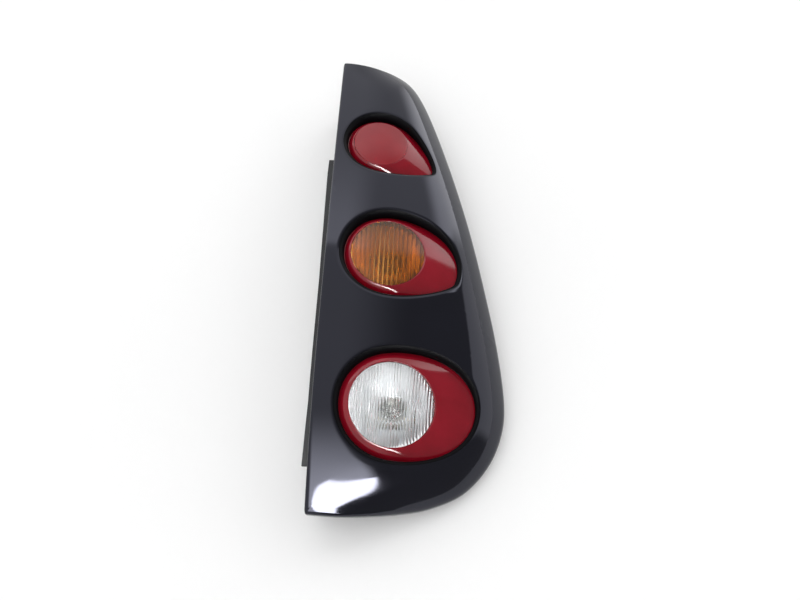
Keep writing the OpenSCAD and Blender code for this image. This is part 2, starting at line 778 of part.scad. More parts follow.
// The wall round the back plate, which rises to just under the cover
module plate_wall() {
    out = plate_edge(plate_lip);
    in = plate_edge(plate_lip + wall_t);
    low = boss_h + wall_t / 2;
    tops = [for (k = [0:len(out) - 1]) min(under_z(out[k]), under_z(in[k])) - wall_clear];
    rows = [[for (p = in) [p[0], p[1], low]],
        [for (k = [0:len(in) - 1]) [in[k][0], in[k][1], tops[k]]],
        [for (k = [0:len(out) - 1]) [out[k][0], out[k][1], tops[k]]],
        [for (p = out) [p[0], p[1], low]]];
    mesh([[concat(rows, [rows[0]]), false]]);
}

module lamp_housing() {
    color("#222326") placed() {
        difference() {
            union() {
                translate([0, 0, boss_h]) linear_extrude(height = wall_t) polygon(plate_edge(0));
                difference() {
                    plate_wall();
                    for (i = [0:2]) {
                        translate([0, 0, plate_z])
                            linear_extrude(height = crown_h) polygon(drop_outline(i, seat_in));
                        intersection() {
                            linear_extrude(height = crown_h) polygon(drop_outline(i, flange_w + lens_gap));
                            over_seat(i, seal_under);
                        }
                    }
                }
                for (i = [0:2]) {
                    seat_ring(i, seal_under, seal_under - wall_t, flange_w, seat_in);
                    difference() {
                        seat_ring(i, seal_under, 0, 0, seat_in);
                        translate([-lamp_w, -lamp_w, 0]) cube([3 * lamp_w, 2 * lamp_len, boss_h + wall_t / 2]);
                    }
                }
                side_ledge();
                translate([0, 0, boss_h - plate_rim_h])
                    linear_extrude(height = plate_rim_h + wall_t / 2)
                        difference() {
                            polygon(plate_edge(0));
                            polygon(plate_edge(plate_rim_t));
                        }
                for (share = [0.27, 0.73]) {
                    latch(lens_at[0], lens_at[2], share, 1);
                }
                latch(lens_at[0], lens_at[1], 0.5, 0);
                latch(lens_at[1], lens_at[2], 0.5, 0);
            }
            for (p = lens_at) {
                translate([p[0], p[1], boss_h - over])
                    cylinder(d = cup_d + 4 * fit_gap + 2 * strip_w, h = wall_t + 2 * over, $fn = 48);
            }
            for (p = screw_at) {
                translate([p[0], p[1], boss_h - over])
                    cylinder(d = screw_d + 2 * fit_gap, h = wall_t + 2 * over, $fn = 24);
            }
            translate([peg_at[0], peg_at[1], boss_h - over])
                cylinder(d = peg_d * 0.6 + 2 * fit_gap, h = wall_t + 2 * over, $fn = 24);
        }
    }
}

// A spring latch under the back plate, which hooks under the edge of the bulb carrier
module latch(a, b, share, mirrored) {
    v = b - a;
    p = a + share * v;
    top = boss_h + wall_t / 2;
    nose_z = carrier_z - fit_gap;
    tip_z = nose_z - 2.5 * latch_nose;
    translate([p[0], p[1], 0])
        rotate([0, 0, atan2(v[1], v[0]) - 90])
            mirror([mirrored, 0, 0])
                translate([carrier_w / 2 + 2 * fit_gap, 0, 0])
                    rotate([90, 0, 0])
                        linear_extrude(height = latch_w, center = true)
                            polygon([[0, top], [latch_t, top], [latch_t, tip_z], [0, tip_z],
                                [-latch_nose, nose_z - latch_nose / 2], [-latch_nose, nose_z], [0, nose_z]]);
}

// The bosses are welded under the back plate, each with four gussets under a round foot
module fixing_bosses() {
    color("#222326") placed()
        for (p = fixing_at) {
            translate([p[0], p[1], 0])
                difference() {
                    union() {
                        cylinder(d = boss_d, h = boss_h, $fn = 48);
                        translate([0, 0, boss_h - boss_foot_t])
                            cylinder(d = boss_d + 2 * gusset_t, h = boss_foot_t, $fn = 48);
                        for (a = [45:90:315]) {
                            rotate([0, 0, a])
                                translate([0, -gusset_t / 2, boss_h / 3])
                                    cube([boss_d / 2 + gusset_t, gusset_t, boss_h * 2 / 3 - boss_foot_t / 2]);
                        }
                    }
                    translate([0, 0, -over]) cylinder(d = insert_d, h = insert_len + over, $fn = 32);
                }
        }
}

// Foam ring between the lamp and the car body, round the bulb carrier
module body_gasket() {
    gasket_h = boss_h - fit_gap - socket_mouth;
    ring_w = 4;
    gap = latch_t + 2 * fit_gap + latch_nose;
    color("#3a3a3c") placed()
        translate([0, 0, boss_h - gasket_h - fit_gap])
            linear_extrude(height = gasket_h)
                difference() {
                    carrier_outline(-gap - ring_w);
                    carrier_outline(-gap);
                }
}

module fixing_inserts() {
    color("#b39a5c") placed()
        for (p = fixing_at) {
            translate([p[0], p[1], fit_gap])
                difference() {
                    cylinder(d = insert_d - 2 * fit_gap, h = insert_len - 2 * fit_gap, $fn = 32);
                    translate([0, 0, -over]) cylinder(d = insert_thread_d, h = insert_len + 2 * over, $fn = 32);
                }
        }
}

module cover_screws() {
    head_h = screw_head_d * 0.35;
    color("#8f9296") placed()
        for (p = screw_at) {
            translate([p[0], p[1], boss_h - fit_gap - head_h])
                difference() {
                    union() {
                        cylinder(d = screw_head_d, h = head_h, $fn = 32);
                        cylinder(d = screw_d, h = head_h + wall_t + screw_grip, $fn = 24);
                    }
                    for (a = [0, 90]) {
                        rotate([0, 0, a])
                            translate([-screw_d / 2, -screw_d / 8, -over])
                                cube([screw_d, screw_d / 4, head_h / 2 + over]);
                    }
                }
        }
}

module locating_peg() {
    color("#d9d6cc") placed()
        translate([peg_at[0], peg_at[1], 0]) {
            translate([0, 0, over]) cylinder(r1 = peg_d / 4, r2 = peg_d / 2, h = peg_d / 2, $fn = 32);
            translate([0, 0, over + peg_d / 2])
                cylinder(d = peg_d * 0.7, h = boss_h - over - peg_d / 2 - wall_t, $fn = 32);
            translate([0, 0, boss_h - wall_t - fit_gap]) cylinder(d = peg_d * 1.4, h = wall_t, $fn = 32);
            translate([0, 0, boss_h - wall_t]) cylinder(d = peg_d * 0.6, h = 2 * wall_t, $fn = 32);
        }
}

front_cover();
lamp_housing();
fixing_bosses();
reverse_surround();
reverse_window();
indicator_surround();
indicator_window();
tail_lens();
reverse_seal();
indicator_seal();
tail_seal();
reverse_reflector();
indicator_reflector();
tail_reflector();
reverse_bulb_cap();
indicator_bulb_cap();
tail_bulb_cap();
reverse_bulb_glass();
indicator_bulb_glass();
tail_bulb_glass();
bulb_carrier();
carrier_gasket();
earth_strip();
reverse_strip();
indicator_strip();
tail_strip();
body_gasket();
fixing_inserts();
cover_screws();
locating_peg();
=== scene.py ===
import math
import bmesh
import bpy
from mathutils import Matrix, Vector
from mathutils.kdtree import KDTree


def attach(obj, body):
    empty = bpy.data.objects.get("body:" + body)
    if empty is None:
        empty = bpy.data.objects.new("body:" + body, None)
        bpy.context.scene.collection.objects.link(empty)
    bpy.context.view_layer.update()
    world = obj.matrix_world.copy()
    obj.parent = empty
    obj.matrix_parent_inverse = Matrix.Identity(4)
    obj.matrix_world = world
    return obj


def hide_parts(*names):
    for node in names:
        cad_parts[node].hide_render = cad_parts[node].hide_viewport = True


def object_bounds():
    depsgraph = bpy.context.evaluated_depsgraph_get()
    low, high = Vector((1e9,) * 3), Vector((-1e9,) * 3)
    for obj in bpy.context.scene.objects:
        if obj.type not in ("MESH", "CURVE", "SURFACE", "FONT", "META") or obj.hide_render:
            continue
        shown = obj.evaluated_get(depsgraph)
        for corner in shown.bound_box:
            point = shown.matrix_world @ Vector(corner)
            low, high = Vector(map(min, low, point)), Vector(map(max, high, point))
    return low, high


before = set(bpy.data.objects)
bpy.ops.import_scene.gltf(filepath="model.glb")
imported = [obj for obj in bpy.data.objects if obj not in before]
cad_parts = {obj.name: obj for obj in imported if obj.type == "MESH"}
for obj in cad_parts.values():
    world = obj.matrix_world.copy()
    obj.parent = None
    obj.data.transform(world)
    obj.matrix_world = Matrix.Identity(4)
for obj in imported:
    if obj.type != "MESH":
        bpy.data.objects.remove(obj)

cad_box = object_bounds()
MM = 0.001

# Sizes of the lamp in millimetres, the same as in part.scad

LAMP_LEN = 490
LAMP_W = 176
CROWN_H = 69
FACE_LEN_R = 3000
FACE_ACROSS_R = 600
CHIN_DROP = 18.5
FLANK_DROP = 20
FLANK_W = 45
SKIRT_H = 6
WINDOW_R = [38.5, 35.5, 27.5]
BORDER = [9 * share for share in (1, 0.74, 0.67)]
LENS_T = 2.5
DOME_H = 6
BULGE_H = 2.5
RECESS_DEPTH = [10.5 * share for share in (1, 1, 1.05)]
ROLL_W = 7
FLANGE_W = 5
FLUTE_PITCH = [2.6, 4.4, 3.9]
BOSS_H = 15
WALL_T = 3
SEAL_T = 1.5
FIT_GAP = 0.15
LENS_GAP = 0.6
LEDGE_W = 6.5
CAP_D = 15
CAP_H = 15
CUP_D = 22
GLASS_D = 25
STRIP_T = 0.8
RIM_R = 2.2
CORNER_R = 2.5
CAP_LIFT = 2.2 * STRIP_T
GLASS_NECK_H = 1.5
# A dressed skin has this much less wall than the solid it stands for
SKIN_INSET = 0.2

# Shares and powers that shape the face, and the angle past which a piece has no sharp edge

FLANK_START_SHARE = 0.6
FLANK_POWER = 2.5
CHIN_LEN_SHARE = 0.306
CROWN_AT_SHARE = 0.55
NO_SHARP_EDGE = 180

EDGE = [(0, 0), (0.153, 0), (0.305, 0.006), (0.463, 0.016), (0.623, 0.031), (0.785, 0.060),
        (0.909, 0.109), (0.980, 0.167), (0.999, 0.232), (0.960, 0.345), (0.893, 0.465), (0.829, 0.567),
        (0.765, 0.655), (0.681, 0.757), (0.580, 0.866), (0.500, 0.934), (0.425, 0.972), (0.330, 0.990),
        (0.210, 0.998), (0.095, 1), (0, 1)]
EDGE = [Vector((x * LAMP_W, y * LAMP_LEN)) for x, y in EDGE]
END = len(EDGE) - 1
BOTTOM_MARK = 6
TOP_MARK = 16
RIGHT_MARKS = [6, 9, 12, 16]
LENS_AT_SHARES = ((0.403, 0.198), (0.342, 0.506), (0.262, 0.776))
LENS_AT = [Vector((x * LAMP_W, y * LAMP_LEN)) for x, y in LENS_AT_SHARES]
DROP_ANGLE = [2, -21, -29.5]
DROP_REACH = [0.367, 0.395, 0.522]
# How the tail of a drop falls off over and under its tip: a round power, then a pointed one
DROP_FALL = [((4.8, 0), (4.8, 0)), ((4, 0), (0, 4)), ((0, 3.9), (0, 4.4))]
TIP_ROUND = 0.05
CUP_FLOOR_TOP = 3.5
CAP_Z = CUP_FLOOR_TOP + CAP_LIFT
NECK_Z = CAP_Z + CAP_H + GLASS_NECK_H + FIT_GAP


def mix(a, b, t):
    return a * (1 - t) + b * t


# The edge of the cover and the height of its face

def edge_at(s):
    i = min(END - 1, int(s))
    t = s - i
    a, b, c, d = (EDGE[max(0, min(END, k))] for k in (i - 1, i, i + 1, i + 2))
    bend = 2 * b + (c - a) * t + (2 * a - 5 * b + 4 * c - d) * t ** 2 + (3 * b - a - 3 * c + d) * t ** 3
    return 0.5 * bend


RUN_N = 4000
RUN = [edge_at(END * k / RUN_N) for k in range(RUN_N + 1)]
run_tree = KDTree(RUN_N + 1)
for k, place in enumerate(RUN):
    run_tree.insert((place.x, place.y, 0), k)
run_tree.balance()
MID_X = (max(p.x for p in RUN) - LEDGE_W) / 2
MID_Y = (max(p.y for p in RUN) + min(p.y for p in RUN)) / 2


def edge_distance(x, y):
    _, k, _ = run_tree.find((x, y, 0))
    p = Vector((x, y))
    best = math.inf
    for a, b in ((RUN[max(0, k - 1)], RUN[max(1, k)]), (RUN[min(RUN_N - 1, k)], RUN[min(RUN_N, k + 1)])):
        span = b - a
        t = max(0, min(1, (p - a).dot(span) / span.length_squared))
        best = min(best, (p - a - span * t).length)
    return best


def smooth_step(t):
    u = max(0, min(1, t))
    return u * u * (3 - 2 * u)


def face_height(x, y):
    away = edge_distance(x, y)
    flank = 0
    if away < FLANK_W:
        start = smooth_step(x / (FLANK_START_SHARE * LAMP_W))
        flank = FLANK_DROP * start * (1 - away / FLANK_W) ** FLANK_POWER
    chin_len = CHIN_LEN_SHARE * LAMP_LEN
    chin = 0 if y >= chin_len else CHIN_DROP * (1 - y / chin_len) ** 2
    bow_along = (y - CROWN_AT_SHARE * LAMP_LEN) ** 2 / (2 * FACE_LEN_R)
    bow_across = x ** 2 / (2 * FACE_ACROSS_R)
    return CROWN_H - bow_along - bow_across - chin - flank


def row_place(x, y, z):
    """A place in the library's frame, in metres, from millimetres counted from the inner bottom corner"""
    # Rounding must not take the two ends out of the solids' box
    along = max(cad_box[0][1], min(cad_box[1][1], (y - MID_Y) * MM))
    return Vector(((x - MID_X) * MM, along, z * MM))


# The drop shape of a recess and the plane of its lens flange

def drop_radius(i, a):
    off = a - math.radians(DROP_ANGLE[i])
    point = math.sqrt(math.sin(off / 2) ** 2 + TIP_ROUND ** 2) - TIP_ROUND
    round_power, point_power = DROP_FALL[i][0 if math.sin(off) > 0 else 1]
    fall = ((1 + math.cos(off)) / 2) ** round_power * (1 - point) ** point_power
    return WINDOW_R[i] + BORDER[i] + 2 * WINDOW_R[i] * DROP_REACH[i] * fall


SEAT_SLOPE = []
SEAT_Z = []
for i, c in enumerate(LENS_AT):
    r = WINDOW_R[i]
    slope_y = (face_height(c.x, c.y + r) - face_height(c.x, c.y - r)) / (2 * r)
    turn = math.radians(DROP_ANGLE[i])
    near = c - Vector((drop_radius(i, math.pi), 0))
    tip = c + Vector((math.cos(turn), math.sin(turn))) * drop_radius(i, turn)
    rise = face_height(tip.x, tip.y) - face_height(near.x, near.y)
    SEAT_SLOPE.append(Vector(((rise - slope_y * (tip.y - near.y)) / (tip.x - near.x), slope_y)))
    SEAT_Z.append(face_height(c.x, c.y) - RECESS_DEPTH[i])


def seat_height(i, x, y):
    return SEAT_Z[i] + (Vector((x, y)) - LENS_AT[i]).dot(SEAT_SLOPE[i])


def seat_turn(i):
    """Turns a flat shape into the plane of a lens flange and moves it to the lens"""
    s = SEAT_SLOPE[i]
    n = math.sqrt(s.x ** 2 + s.y ** 2 + 1)
    turn = Matrix.Rotation(math.atan2(-s.x, 1), 4, "Y") @ Matrix.Rotation(math.asin(s.y / n), 4, "X")
    return Matrix.Translation(row_place(LENS_AT[i].x, LENS_AT[i].y, SEAT_Z[i])) @ turn


# Helpers for making pieces

def linear(hex_colour):
    """An sRGB colour as the linear values that a shader takes"""
    parts = [int(hex_colour[k:k + 2], 16) / 255 for k in (1, 3, 5)]
    return [c / 12.92 if c <= 0.04045 else ((c + 0.055) / 1.055) ** 2.4 for c in parts] + [1]


def finish_piece(name, bm, material, replaces, sharp_angle):
    """Turns a bmesh into a piece that rides on the lamp"""
    mesh = bpy.data.meshes.new(name)
    bm.to_mesh(mesh)
    bm.free()
    mesh.polygons.foreach_set("use_smooth", [True] * len(mesh.polygons))
    if sharp_angle < NO_SHARP_EDGE:
        mesh.set_sharp_from_angle(angle=math.radians(sharp_angle))
    mesh.materials.append(material)
    obj = bpy.data.objects.new(name, mesh)
    bpy.context.collection.objects.link(obj)
    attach(obj, "root")
    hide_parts(*replaces)
    return obj


def pull_rows(bm, rows):
    """Starts from a circle and pulls its edge out, row by row, through the given rings of places"""
    ring = list(bmesh.ops.create_circle(bm, segments=len(rows[0]), radius=1)["verts"])
    for v, place in zip(ring, rows[0]):
        v.co = place
    for row in rows[1:]:
        old = set(ring)
        edges = [bm.edges.get((ring[k], ring[(k + 1) % len(ring)])) for k in range(len(ring))]
        geom = bmesh.ops.extrude_edge_only(bm, edges=edges)["geom"]
        fresh = {}
        for v in (g for g in geom if isinstance(g, bmesh.types.BMVert)):
            for e in v.link_edges:
                other = e.other_vert(v)
                if other in old:
                    fresh[other] = v
        ring = [fresh[v] for v in ring]
        for v, place in zip(ring, row):
            v.co = place


def thicken(obj, wall):
    """Gives a skin its wall, on the inner side"""
    wall_mod = obj.modifiers.new("wall", "SOLIDIFY")
    wall_mod.thickness = wall * MM
    wall_mod.offset = -1


def face_out(bm):
    """Turns the faces of an open skin so that most of them look up"""
    if sum(f.normal.z * f.calc_area() for f in bm.faces) < 0:
        bmesh.ops.reverse_faces(bm, faces=bm.faces[:])


# Materials

def add(tree, kind, settings=None, **sockets):
    """Adds a node; a socket, by its name or by its number as in i0, takes a value or another node's output"""
    node = tree.nodes.new(kind)
    for key, value in (settings or {}).items():
        setattr(node, key, value)
    for key, value in sockets.items():
        numbered = key[0] == "i" and key[1:].isdigit()
        socket = node.inputs[int(key[1:]) if numbered else key.replace("_", " ")]
        if isinstance(value, bpy.types.NodeSocket):
            tree.links.new(value, socket)
        else:
            socket.default_value = value
    return node


def new_material(name):
    """An empty material, its tree and the Object coordinates that its patterns follow"""
    material = bpy.data.materials.new(name)
    material.use_nodes = True
    tree = material.node_tree
    tree.nodes.clear()
    return material, tree, add(tree, "ShaderNodeTexCoord").outputs["Object"]


def grey(v):
    return (v, v, v, 1)


def uneven(tree, coords, size_mm, low, high, detail=3, roughness=0.5, ends=(0.3, 0.7)):
    """Wanders between two colours, or two greys, in patches of about the given size"""
    patches = add(tree, "ShaderNodeTexNoise", Vector=coords, Scale=1 / (size_mm * MM), Detail=detail,
                  Roughness=roughness)
    tone = add(tree, "ShaderNodeValToRGB", Fac=patches.outputs["Fac"])
    for k, colour in enumerate((low, high)):
        stop = tone.color_ramp.elements[k]
        stop.position = ends[k]
        stop.color = colour
    return tone.outputs["Color"]


def relief(tree, coords, size_mm, depth_mm, detail=2):
    """The normal of a surface with bumps of the given size and depth"""
    bumps = add(tree, "ShaderNodeTexNoise", Vector=coords, Scale=1 / (size_mm * MM), Detail=detail,
                Roughness=0.5)
    return add(tree, "ShaderNodeBump", Strength=1, Distance=depth_mm * MM,
               Height=bumps.outputs["Fac"]).outputs["Normal"]


# Moulded black acrylic of the cover: a deep gloss with a faint blue tint and light haze. Its blue specular
# tint is a painted reflection colour, standing for a bluish room seen in the gloss
def make_cover_black():
    material, tree, coords = new_material("cover black acrylic")
    tint = uneven(tree, coords, 60, linear("#09090f"), linear("#0c0c13"))
    haze = uneven(tree, coords, 35, grey(0.04), grey(0.08), 5, 0.6, (0.35, 0.75))
    shader = add(tree, "ShaderNodeBsdfPrincipled", Base_Color=tint, Roughness=haze, IOR=1.49,
                 Specular_Tint=linear("#e8eaff"), Normal=relief(tree, coords, 6, 0.003))
    add(tree, "ShaderNodeOutputMaterial", Surface=shader.outputs["BSDF"])
    return material


# Finely textured black inside the recesses, with hardly any sheen; its tint, darker than the cover's, is
# painted shade on the recess walls
def make_recess_painted_shade_black():
    material, tree, coords = new_material("recess black acrylic with painted shade")
    tint = uneven(tree, coords, 30, linear("#060608"), linear("#0a0a0d"))
    rough = uneven(tree, coords, 10, grey(0.42), grey(0.5))
    shader = add(tree, "ShaderNodeBsdfPrincipled", Base_Color=tint, Roughness=rough,
                 Specular_IOR_Level=0.06, Normal=relief(tree, coords, 0.4, 0.01))
    add(tree, "ShaderNodeOutputMaterial", Surface=shader.outputs["BSDF"])
    return material


# Black moulded plastic of the housing: fine spark texture, low sheen
def make_housing_black():
    material, tree, coords = new_material("housing black plastic")
    tint = uneven(tree, coords, 25, linear("#1c1d1f"), linear("#26272a"), 4)
    rough = uneven(tree, coords, 12, grey(0.5), grey(0.62), 4)
    shader = add(tree, "ShaderNodeBsdfPrincipled", Base_Color=tint, Roughness=rough,
                 Normal=relief(tree, coords, 0.5, 0.03))
    add(tree, "ShaderNodeOutputMaterial", Surface=shader.outputs["BSDF"])
    return material


# Tinted acrylic of a lens, moulded: glossy, with faint flow marks
def make_acrylic(name, deep, light, clear, rough):
    material, tree, coords = new_material(name)
    tint = uneven(tree, coords, 22, linear(deep), linear(light))
    shader = add(tree, "ShaderNodeBsdfPrincipled", Base_Color=tint, Roughness=rough, IOR=1.49,
                 Transmission_Weight=clear, Normal=relief(tree, coords, 9, 0.006))
    add(tree, "ShaderNodeOutputMaterial", Surface=shader.outputs["BSDF"])
    return material


# Vapour coated reflector: bright aluminium over moulded plastic, with slight ripples
def make_reflector_silver():
    material, tree, coords = new_material("coated reflector")
    tint = uneven(tree, coords, 18, linear("#f3f4f6"), linear("#fbfbfc"))
    rough = uneven(tree, coords, 8, grey(0.3), grey(0.4), 4, 0.5, (0.3, 0.75))
    shader = add(tree, "ShaderNodeBsdfPrincipled", Base_Color=tint, Metallic=1, Roughness=rough,
                 Normal=relief(tree, coords, 4, 0.02))
    add(tree, "ShaderNodeOutputMaterial", Surface=shader.outputs["BSDF"])
    return material


# Blown glass of the bulbs: thin and clear, with a faint ripple
def make_bulb_glass():
    material, tree, coords = new_material("bulb glass")
    tint = uneven(tree, coords, 10, linear("#f2f6f7"), linear("#ffffff"), 2)
    shader = add(tree, "ShaderNodeBsdfPrincipled", Base_Color=tint, Roughness=0.01, IOR=1.5,
                 Transmission_Weight=1, Normal=relief(tree, coords, 7, 0.01, 1))
    add(tree, "ShaderNodeOutputMaterial", Surface=shader.outputs["BSDF"])
    return material


# A metal with handling marks: brass, nickel plate, zinc plated steel or tungsten wire
def make_metal(name, dull, bright, rough_low, rough_high):
    material, tree, coords = new_material(name)
    tint = uneven(tree, coords, 5, linear(dull), linear(bright), 5, 0.6, (0.3, 0.72))
    rough = uneven(tree, coords, 2.5, grey(rough_low), grey(rough_high), 4, 0.5, (0.3, 0.75))
    shader = add(tree, "ShaderNodeBsdfPrincipled", Base_Color=tint, Metallic=1, Roughness=rough,
                 Normal=relief(tree, coords, 0.6, 0.01))
    add(tree, "ShaderNodeOutputMaterial", Surface=shader.outputs["BSDF"])
    return material


# Soft rubber or foam, dull, with a fine skin or open cells
def make_rubber(name, dark, light, cell_mm, depth_mm):
    material, tree, coords = new_material(name)
    tint = uneven(tree, coords, 14, linear(dark), linear(light), 4)
    cells = add(tree, "ShaderNodeTexVoronoi", Vector=coords, Scale=1 / (cell_mm * MM))
    skin = add(tree, "ShaderNodeBump", Strength=1, Distance=depth_mm * MM, Height=cells.outputs["Distance"])
    shader = add(tree, "ShaderNodeBsdfPrincipled", Base_Color=tint, Roughness=0.85,
                 Normal=skin.outputs["Normal"])
    add(tree, "ShaderNodeOutputMaterial", Surface=shader.outputs["BSDF"])
    return material


# Pale engineering plastic with slight flow shading
def make_pale_plastic(name, dark, light):
    material, tree, coords = new_material(name)
    tint = uneven(tree, coords, 20, linear(dark), linear(light), 4)
    rough = uneven(tree, coords, 9, grey(0.38), grey(0.5))
    shader = add(tree, "ShaderNodeBsdfPrincipled", Base_Color=tint, Roughness=rough,
                 Subsurface_Weight=0.05, Normal=relief(tree, coords, 0.8, 0.015))
    add(tree, "ShaderNodeOutputMaterial", Surface=shader.outputs["BSDF"])
    return material


cover_black = make_cover_black()
# The recess black is darker than the cover: painted shade in the recesses
recess_painted_shade_black = make_recess_painted_shade_black()
housing_black = make_housing_black()
red_acrylic = make_acrylic("red acrylic", "#920c20", "#a01127", 0.3, 0.09)
clear_red_acrylic = make_acrylic("clear red acrylic", "#b41428", "#bc1c30", 0.6, 0.3)
clear_acrylic = make_acrylic("clear acrylic", "#f6f8f8", "#ffffff", 1.0, 0.07)
amber_acrylic = make_acrylic("amber acrylic", "#bc8034", "#c88e42", 0.95, 0.13)
reflector_silver = make_reflector_silver()
bulb_glass = make_bulb_glass()
brass = make_metal("brass", "#a5854a", "#d3b26a", 0.25, 0.4)
nickel_plate = make_metal("nickel plated brass", "#c6c3bc", "#e0ded8", 0.25, 0.4)
zinc_steel = make_metal("zinc plated steel", "#8d9093", "#b9bcbe", 0.28, 0.42)
tungsten = make_metal("tungsten", "#6f6c68", "#95918b", 0.3, 0.45)
seal_rubber = make_rubber("seal rubber", "#141414", "#1e1e1e", 0.7, 0.01)
gasket_foam = make_rubber("gasket foam", "#202022", "#2c2c2e", 0.9, 0.12)
carrier_plastic = make_pale_plastic("carrier plastic", "#cbc9c0", "#dad8d0")
peg_nylon = make_pale_plastic("nylon", "#c6c2b4", "#d8d4c8")


# Cover

SIDE_N = 48
# Steps in from the rim, closer together where it is rounded over
RIM_STEPS = (0, 0.12, 0.45, 1.0, 1.8, 2.8)


def rim_line(start, end):
    return [edge_at(start + (end - start) * k / SIDE_N) for k in range(SIDE_N)]


def mark_height(zone):
    return 0 if zone == 0 else LAMP_LEN if zone == 3 else edge_at(RIGHT_MARKS[zone]).y


def cross_line(zone, back):
    """Places across the face between two recesses, closer together where they cross the rounded rims"""
    a = Vector((0, mark_height(zone)))
    b = edge_at(RIGHT_MARKS[zone])
    ends = [step / (b - a).length for step in RIM_STEPS]
    middle = SIDE_N - 2 * len(ends) + 1
    shares = ends + [mix(ends[-1], 1 - ends[-1], k / (middle + 1)) for k in range(1, middle + 1)]
    shares += [1 - end for end in reversed(ends)]
    if back:
        shares.reverse()
    return [mix(a, b, share) for share in shares[:SIDE_N]]


def zone_frame(zone):
    """The frame round one recess, anticlockwise from its bottom left corner"""
    bottom = rim_line(0, BOTTOM_MARK) if zone == 0 else cross_line(zone, False)
    top = rim_line(TOP_MARK, END) if zone == 2 else cross_line(zone + 1, True)
    inner = [Vector((0, mix(mark_height(zone + 1), mark_height(zone), k / SIDE_N))) for k in range(SIDE_N)]
    return bottom + rim_line(RIGHT_MARKS[zone], RIGHT_MARKS[zone + 1]) + top + inner


def rounded(x, y):
    """Moves a place out of the two sharp inner corners, and tells how far it is from the edge"""
    side, away = x, edge_distance(x, y)
    if side < CORNER_R and away < CORNER_R:
        reach = math.hypot(CORNER_R - side, CORNER_R - away)
        if reach > CORNER_R:
            new_side = CORNER_R - (CORNER_R - side) * CORNER_R / reach
            new_away = CORNER_R - (CORNER_R - away) * CORNER_R / reach
            up = 1 if y < LAMP_LEN / 2 else -1
            return new_side, y + (new_away - away) * up, 0
        return x, y, CORNER_R - reach
    return x, y, min(side, away)


def cover_place(x, y):
    """A place on the outside of the cover, with its edge rounded over"""
    x, y, depth = rounded(x, y)
    z = face_height(x, y)
    if depth < RIM_R:
        z -= RIM_R - math.sqrt(max(0, RIM_R ** 2 - (RIM_R - depth) ** 2))
    return x, y, z


FACE_ROWS = 12
ROLL_ROWS = 10
# How far out on its roll a recess wall still takes the darker recess black, its painted shade
RECESS_WALL_SHARE = 0.66
# What lies within this of the outline is rim
RIM_REACH = 2
SEAM_MERGE = 0.01
ROLL_PULL = (0.42, 0.35)


def roll_at(t):
    """Section of the edge that rolls into a recess: how far out of it, and how far down it"""
    u = 1 - t
    out = u ** 3 + 3 * u * u * t * ROLL_PULL[0]
    down = 3 * u * t * t * ROLL_PULL[1] + t ** 3
    return out, down


def recess_rows(zone):
    c = LENS_AT[zone]
    rays = []
    for b in zone_frame(zone):
        v = b - c
        rays.append((b, v.normalized(), v.length, drop_radius(zone, math.atan2(v.y, v.x))))
    rows = []
    for step in RIM_STEPS:
        rows.append([row_place(*cover_place(*(b - n * step))) for b, n, far, drop in rays])
    for k in range(1, FACE_ROWS + 1):
        row = []
        for b, n, far, drop in rays:
            p = c + n * mix(far - RIM_STEPS[-1], drop + ROLL_W, k / FACE_ROWS)
            row.append(row_place(*cover_place(p.x, p.y)))
        rows.append(row)
    for k in range(1, ROLL_ROWS + 1):
        out, down = roll_at(k / ROLL_ROWS)
        row = []
        for b, n, far, drop in rays:
            p = c + n * (drop + ROLL_W * out)
            foot = seat_height(zone, p.x, p.y) + FIT_GAP
            row.append(row_place(p.x, p.y, mix(face_height(p.x, p.y), foot, down)))
        rows.append(row)
    return rows


def in_recess(p):
    """1 where a place is on the wall of a recess, which takes the painted shade, and 0 on the face"""
    for i, c in enumerate(LENS_AT):
        v = p - c
        if v.length < drop_radius(i, math.atan2(v.y, v.x)) + RECESS_WALL_SHARE * ROLL_W:
            return 1
    return 0


def near_rim(edge):
    """True for an edge on the outside of the cover, which no recess wall reaches"""
    p = (edge.verts[0].co + edge.verts[1].co) / 2
    x, y = p.x / MM + MID_X, p.y / MM + MID_Y
    return min(x, edge_distance(x, y)) < RIM_REACH


def make_cover():
    bm = bmesh.new()
    for zone in range(3):
        pull_rows(bm, recess_rows(zone))
    bmesh.ops.remove_doubles(bm, verts=bm.verts[:], dist=SEAM_MERGE * MM)
    face_out(bm)
    # The skirt hangs from the rim; the feet of the recesses are left as they are
    rim = [e for e in bm.edges if e.is_boundary and near_rim(e)]
    geom = bmesh.ops.extrude_edge_only(bm, edges=rim)["geom"]
    for v in (g for g in geom if isinstance(g, bmesh.types.BMVert)):
        v.co.z -= (SKIRT_H - RIM_R) * MM
    bmesh.ops.recalc_face_normals(bm, faces=bm.faces[:])
    face_out(bm)
    # Faces on the recess walls take the second, darker material: painted shade in the recesses
    for face in bm.faces:
        p = face.calc_center_median()
        face.material_index = in_recess(Vector((p.x / MM + MID_X, p.y / MM + MID_Y)))
    cover = finish_piece("front_cover_shell", bm, cover_black, ["front_cover"], NO_SHARP_EDGE)
    cover.data.materials.append(recess_painted_shade_black)
    thicken(cover, RIM_R - SKIN_INSET)


make_cover()


# Lens mouldings

TEAR_N = 192
BOW_ROWS = 16
BOW_POWER = 1.8
FLANGE_FOOT = 0.3
WINDOW_ROWS = 30
FLUTE_STEPS = 8
FLUTE_DEPTH_SHARE = 0.25
FLUTE_POWER = 1.3
# The outermost column of a window's grid stays this share of the radius in, so that it keeps a length
GRID_SHARE = 0.9995
# The red window reaches this far into its surround, with which it is one moulding
RED_OVERLAP = 0.25
SURROUND_SHARP = 60
WINDOW_SHARP = 50


def ring_angles(n):
    return [2 * math.pi * k / n for k in range(n)]


def dome_radius(i):
    return (WINDOW_R[i] ** 2 + BULGE_H ** 2) / (2 * BULGE_H)


